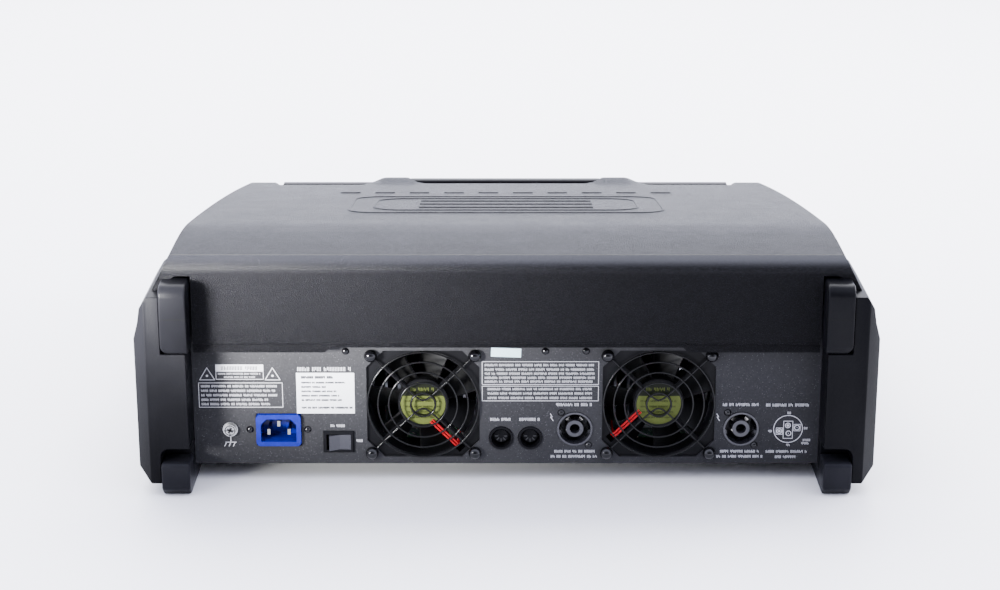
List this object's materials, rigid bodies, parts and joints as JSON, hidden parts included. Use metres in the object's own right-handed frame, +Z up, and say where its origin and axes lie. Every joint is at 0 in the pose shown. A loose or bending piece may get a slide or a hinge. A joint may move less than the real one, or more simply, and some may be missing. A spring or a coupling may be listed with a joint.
{
  "type": "powered mixer",
  "caption": "Powered mixing console with a built-in two-channel amplifier, rear fans and sockets, carrying bar and a lift-off transport lid.",
  "frame": {"origin": "middle of the outline on the surface that the console stands on", "axes": "+X across the console to the player's right, +Y from the front to the rear panel, +Z up"},
  "size_m": [0.505, 0.495, 0.167],
  "materials": {
    "cheek_plastic": "fine grained moulding",
    "buffer_plastic": "dense black buffer moulding",
    "lid_plastic": "leather-grained black moulding",
    "panel_steel": "dark grey powder coat",
    "pan_steel": "black paint",
    "black_plastic": "moulded",
    "gloss_black": "glossy black",
    "wire_steel": "glossy black wire",
    "screw_black": "black oxide and lacquer",
    "blue_plastic": "blue moulding",
    "contact_metal": "nickel-plated brass",
    "bright_steel": "zinc plated",
    "label_paper": "printed film",
    "lead_sheath": "red and black insulation",
    "knob_grey": "grey knobs",
    "knob_light": "light grey knobs",
    "knob_blue": "blue knobs",
    "fader_cap": "light fader caps",
    "display_glass": "read-out window",
    "board_green": "circuit board",
    "sink_aluminium": "extruded",
    "core_copper": "wound ring core"
  },
  "bodies": {
    "console": {"amp_board": "board_green", "bumper_left": "buffer_plastic", "bumper_right": "buffer_plastic", "capacitors": "gloss_black", "chassis_pan": "pan_steel", "cheek_left": "cheek_plastic", "cheek_right": "cheek_plastic", "control_panel": "panel_steel", "earth_terminal": "bright_steel", "effects_display": "display_glass", "fader_tracks": "bright_steel", "fan_frame_left": "black_plastic", "fan_frame_right": "black_plastic", "fan_guard_left": "wire_steel", "fan_guard_right": "wire_steel", "fan_leads_left": "lead_sheath", "fan_leads_right": "lead_sheath", "fan_screws": "screw_black", "front_handle": "black_plastic", "gain_knobs": "knob_light", "handle_posts": "black_plastic", "heat_sinks": "sink_aluminium", "inlet_housing": "blue_plastic", "inlet_pins": "contact_metal", "input_sockets": "gloss_black", "jack_sockets": "black_plastic", "midi_in_socket": "black_plastic", "midi_out_socket": "black_plastic", "mixer_board": "board_green", "panel_screws": "screw_black", "power_transistors": "black_plastic", "rating_label": "label_paper", "rear_panel": "panel_steel", "send_knobs": "knob_blue", "skid_left": "buffer_plastic", "skid_right": "buffer_plastic", "speaker_contacts": "contact_metal", "speaker_socket_left": "black_plastic", "speaker_socket_right": "black_plastic", "switch_housing": "gloss_black", "tone_knobs": "knob_grey", "transformer": "core_copper"},
    "lid": {"lid_shell": "lid_plastic"},
    "latch_right": {"lid_latch_right": "black_plastic"},
    "latch_left": {"lid_latch_left": "black_plastic"},
    "rotor_right": {"fan_rotor_right": "black_plastic"},
    "rotor_left": {"fan_rotor_left": "black_plastic"},
    "rocker": {"power_rocker": "gloss_black"},
    "phantom_button": {"phantom_button": "knob_light"},
    "standby_button": {"standby_button": "knob_light"},
    "master_left": {"master_fader_left": "fader_cap"},
    "master_right": {"master_fader_right": "fader_cap"},
    "fader_1": {"channel_fader_1": "fader_cap"},
    "fader_2": {"channel_fader_2": "fader_cap"},
    "fader_3": {"channel_fader_3": "fader_cap"},
    "fader_4": {"channel_fader_4": "fader_cap"},
    "fader_5": {"channel_fader_5": "fader_cap"},
    "fader_6": {"channel_fader_6": "fader_cap"},
    "fader_7": {"channel_fader_7": "fader_cap"},
    "fader_8": {"channel_fader_8": "fader_cap"}
  },
  "joints": [
    {"name": "lid_lift", "type": "slide", "parent": "console", "child": "lid", "axis": [0, 0, 1], "range_m": [0, 0.15]},
    {"name": "latch_right_slide", "type": "slide", "parent": "lid", "child": "latch_right", "axis": [1, 0, 0], "range_m": [0, 0.006]},
    {"name": "latch_left_slide", "type": "slide", "parent": "lid", "child": "latch_left", "axis": [-1, 0, 0], "range_m": [0, 0.006]},
    {"name": "rotor_right_spin", "type": "hinge", "parent": "console", "child": "rotor_right", "pos_m": [0.0577, 0.2025, 0.0567], "axis": [0, 1, 0], "continuous": true},
    {"name": "rotor_left_spin", "type": "hinge", "parent": "console", "child": "rotor_left", "pos_m": [-0.1052, 0.2025, 0.0567], "axis": [0, 1, 0], "continuous": true},
    {"name": "power_rocker_tilt", "type": "hinge", "parent": "console", "child": "rocker", "pos_m": [0.1165, 0.215, 0.0291], "axis": [0, 0, 1], "range_deg": [-24, 0]},
    {"name": "phantom_button_press", "type": "slide", "parent": "console", "child": "phantom_button", "axis": [0, 0.1736, -0.9848], "range_m": [0, 0.002], "stiffness_N_per_m": 200, "springref_m": -0.003},
    {"name": "standby_button_press", "type": "slide", "parent": "console", "child": "standby_button", "axis": [0, 0.1736, -0.9848], "range_m": [0, 0.002], "stiffness_N_per_m": 200, "springref_m": -0.003},
    {"name": "fader_1_slide", "type": "slide", "parent": "console", "child": "fader_1", "axis": [0, 0.9848, 0.1736], "range_m": [0, 0.06]},
    {"name": "fader_2_slide", "type": "slide", "parent": "console", "child": "fader_2", "axis": [0, 0.9848, 0.1736], "range_m": [0, 0.06]},
    {"name": "fader_3_slide", "type": "slide", "parent": "console", "child": "fader_3", "axis": [0, 0.9848, 0.1736], "range_m": [0, 0.06]},
    {"name": "fader_4_slide", "type": "slide", "parent": "console", "child": "fader_4", "axis": [0, 0.9848, 0.1736], "range_m": [0, 0.06]},
    {"name": "fader_5_slide", "type": "slide", "parent": "console", "child": "fader_5", "axis": [0, 0.9848, 0.1736], "range_m": [0, 0.06]},
    {"name": "fader_6_slide", "type": "slide", "parent": "console", "child": "fader_6", "axis": [0, 0.9848, 0.1736], "range_m": [0, 0.06]},
    {"name": "fader_7_slide", "type": "slide", "parent": "console", "child": "fader_7", "axis": [0, 0.9848, 0.1736], "range_m": [0, 0.06]},
    {"name": "fader_8_slide", "type": "slide", "parent": "console", "child": "fader_8", "axis": [0, 0.9848, 0.1736], "range_m": [0, 0.06]},
    {"name": "master_left_slide", "type": "slide", "parent": "console", "child": "master_left", "axis": [0, 0.9848, 0.1736], "range_m": [0, 0.06]},
    {"name": "master_right_slide", "type": "slide", "parent": "console", "child": "master_right", "axis": [0, 0.9848, 0.1736], "range_m": [0, 0.06]}
  ]
}
